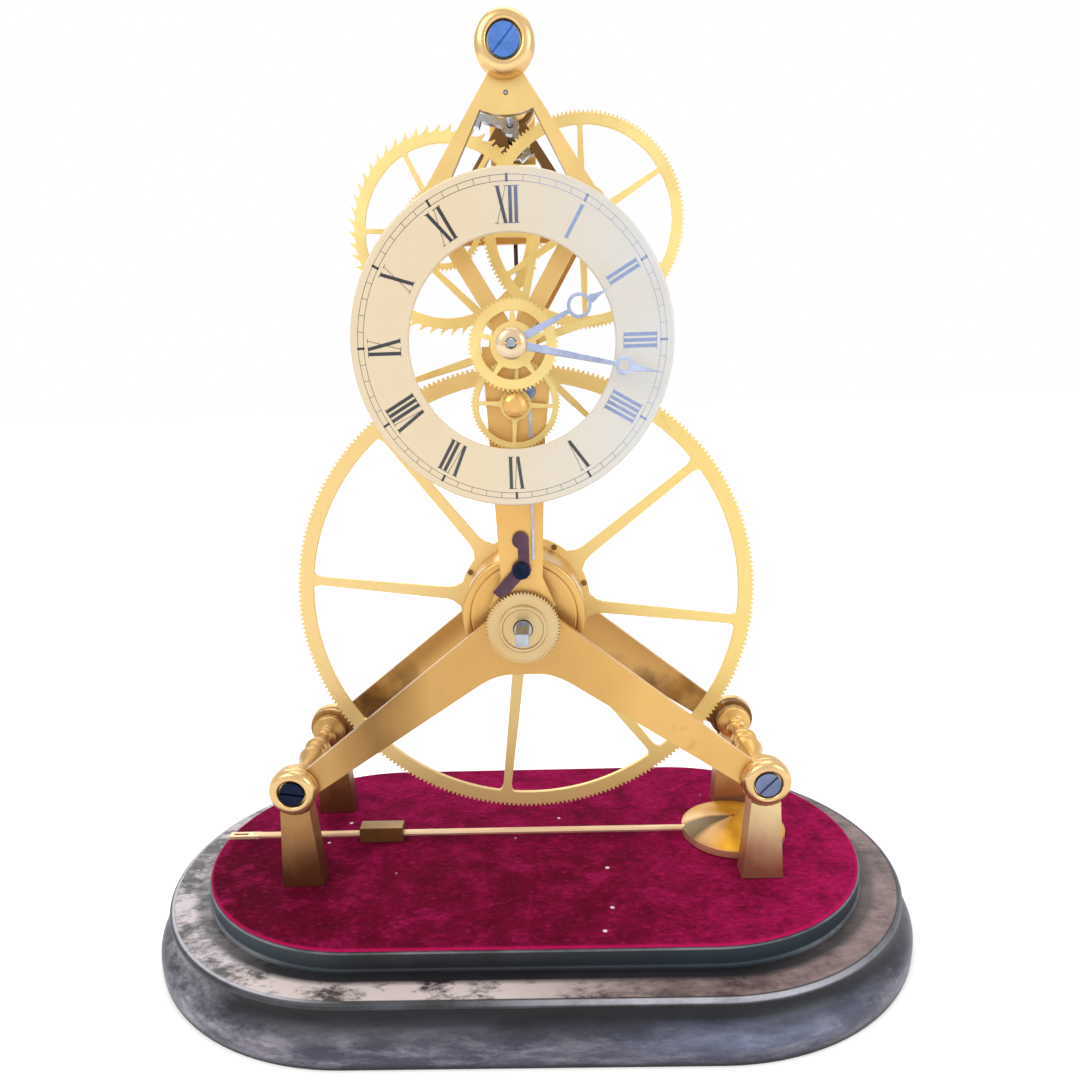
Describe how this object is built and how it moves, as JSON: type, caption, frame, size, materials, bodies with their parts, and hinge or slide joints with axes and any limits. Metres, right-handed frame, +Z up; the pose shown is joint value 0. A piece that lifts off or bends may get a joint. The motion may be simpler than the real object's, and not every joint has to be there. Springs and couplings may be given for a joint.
{
  "type": "skeleton clock",
  "caption": "Open-framed brass timepiece with a large great wheel, pierced chapter ring and steel hands, on an oval ebonised stand topped with velvet, its pendulum laid on the stand",
  "frame": {"origin": "middle of the stand's underside", "axes": "+X to the right of the dial, +Y to the back, +Z up"},
  "size_m": [0.3516, 0.207, 0.3729],
  "materials": {
    "plate_brass": "polished, warm golden",
    "wheel_brass": "polished, paler",
    "steel": "polished",
    "blued_steel": "heat blued",
    "dark_steel": "darkened, purple brown",
    "silvered_dial": "silvered, satin cream, with black waxed numerals",
    "ebonised_wood": "ebonised, polished, scuffed",
    "worn_ledge": "ebonised, worn through",
    "velvet": "crimson pile"
  },
  "bodies": {
    "frame": {"plinth": "ebonised_wood", "ledge_board": "worn_ledge", "stage": "ebonised_wood", "velvet_cover": "velvet", "front_plate": "plate_brass", "rear_plate": "plate_brass", "left_pillar": "plate_brass", "right_pillar": "plate_brass", "top_pillar": "plate_brass", "left_front_collar": "plate_brass", "right_front_collar": "plate_brass", "top_front_collar": "plate_brass", "left_front_screw": "blued_steel", "right_front_screw": "blued_steel", "top_front_screw": "blued_steel", "left_rear_screw": "plate_brass", "right_rear_screw": "plate_brass", "top_rear_screw": "plate_brass", "left_front_foot": "plate_brass", "right_front_foot": "plate_brass", "left_rear_foot": "plate_brass", "right_rear_foot": "plate_brass", "chapter_ring": "silvered_dial", "lower_dial_post": "plate_brass", "left_dial_post": "plate_brass", "right_dial_post": "plate_brass", "minute_wheel_stud": "plate_brass", "click_screw": "blued_steel", "click_spring": "steel", "click_spring_screw": "blued_steel", "suspension_cock": "plate_brass", "suspension_spring": "steel"},
    "going_barrel": {"great_wheel": "wheel_brass", "barrel_drum": "plate_brass", "mainspring": "steel"},
    "winding_arbor": {"winding_arbor": "steel", "ratchet_wheel": "plate_brass"},
    "click": {"click": "dark_steel"},
    "centre_arbor": {"centre_arbor": "steel", "centre_wheel": "wheel_brass", "cannon_pinion": "steel", "minute_hand": "steel", "hand_collet": "plate_brass", "hand_pin": "plate_brass"},
    "third_arbor": {"third_arbor": "steel", "third_wheel": "wheel_brass"},
    "escape_arbor": {"escape_arbor": "steel", "escape_driven_wheel": "wheel_brass", "escape_wheel": "wheel_brass"},
    "minute_wheel": {"minute_wheel": "wheel_brass", "minute_pinion": "wheel_brass"},
    "hour_wheel": {"hour_wheel": "wheel_brass", "hour_hand": "steel"},
    "anchor": {"anchor": "steel", "pallet_arbor": "steel", "crutch": "dark_steel"},
    "pendulum": {"pendulum_rod": "steel", "pendulum_block": "plate_brass", "pendulum_bob": "plate_brass", "rating_nut": "plate_brass"}
  },
  "joints": [
    {"name": "third_arbor_turn", "type": "hinge", "parent": "frame", "child": "third_arbor", "pos_m": [0.0277, 0, 0.30929], "axis": [0, 1, 0], "continuous": true},
    {"name": "centre_arbor_turn", "type": "hinge", "parent": "frame", "child": "centre_arbor", "pos_m": [0, 0, 0.26299], "axis": [0, 1, 0], "continuous": true},
    {"name": "great_wheel_turn", "type": "hinge", "parent": "frame", "child": "going_barrel", "pos_m": [0, 0, 0.15309], "axis": [0, 1, 0], "continuous": true},
    {"name": "escape_arbor_turn", "type": "hinge", "parent": "frame", "child": "escape_arbor", "pos_m": [-0.0277, 0, 0.30929], "axis": [0, 1, 0], "continuous": true},
    {"name": "minute_wheel_turn", "type": "hinge", "parent": "frame", "child": "minute_wheel", "pos_m": [0, 0, 0.24169], "axis": [0, 1, 0], "continuous": true},
    {"name": "hour_wheel_turn", "type": "hinge", "parent": "frame", "child": "hour_wheel", "pos_m": [0, 0, 0.26299], "axis": [0, 1, 0], "continuous": true},
    {"name": "winding_arbor_turn", "type": "hinge", "parent": "frame", "child": "winding_arbor", "pos_m": [0, 0, 0.15309], "axis": [0, 1, 0], "continuous": true},
    {"name": "click_lift", "type": "hinge", "parent": "frame", "child": "click", "pos_m": [0, 0, 0.17699], "axis": [0, 1, 0], "range_deg": [0, 4], "stiffness_Nm_per_rad": 0.002, "springref_deg": -17.19},
    {"name": "anchor_rock", "type": "hinge", "parent": "frame", "child": "anchor", "pos_m": [0, 0, 0.34776], "axis": [0, 1, 0], "range_deg": [-2, 2]},
    {"name": "pendulum_slide", "type": "slide", "parent": "frame", "child": "pendulum", "axis": [1, 0, 0], "range_m": [0, 0.25]}
  ],
  "couplings": [
    {"joint": "centre_arbor_turn", "follows": "third_arbor_turn", "ratio": -0.0375},
    {"joint": "great_wheel_turn", "follows": "third_arbor_turn", "ratio": 0.00225},
    {"joint": "escape_arbor_turn", "follows": "third_arbor_turn", "ratio": -2.5},
    {"joint": "minute_wheel_turn", "follows": "third_arbor_turn", "ratio": 0.010417},
    {"joint": "hour_wheel_turn", "follows": "third_arbor_turn", "ratio": -0.003125}
  ]
}
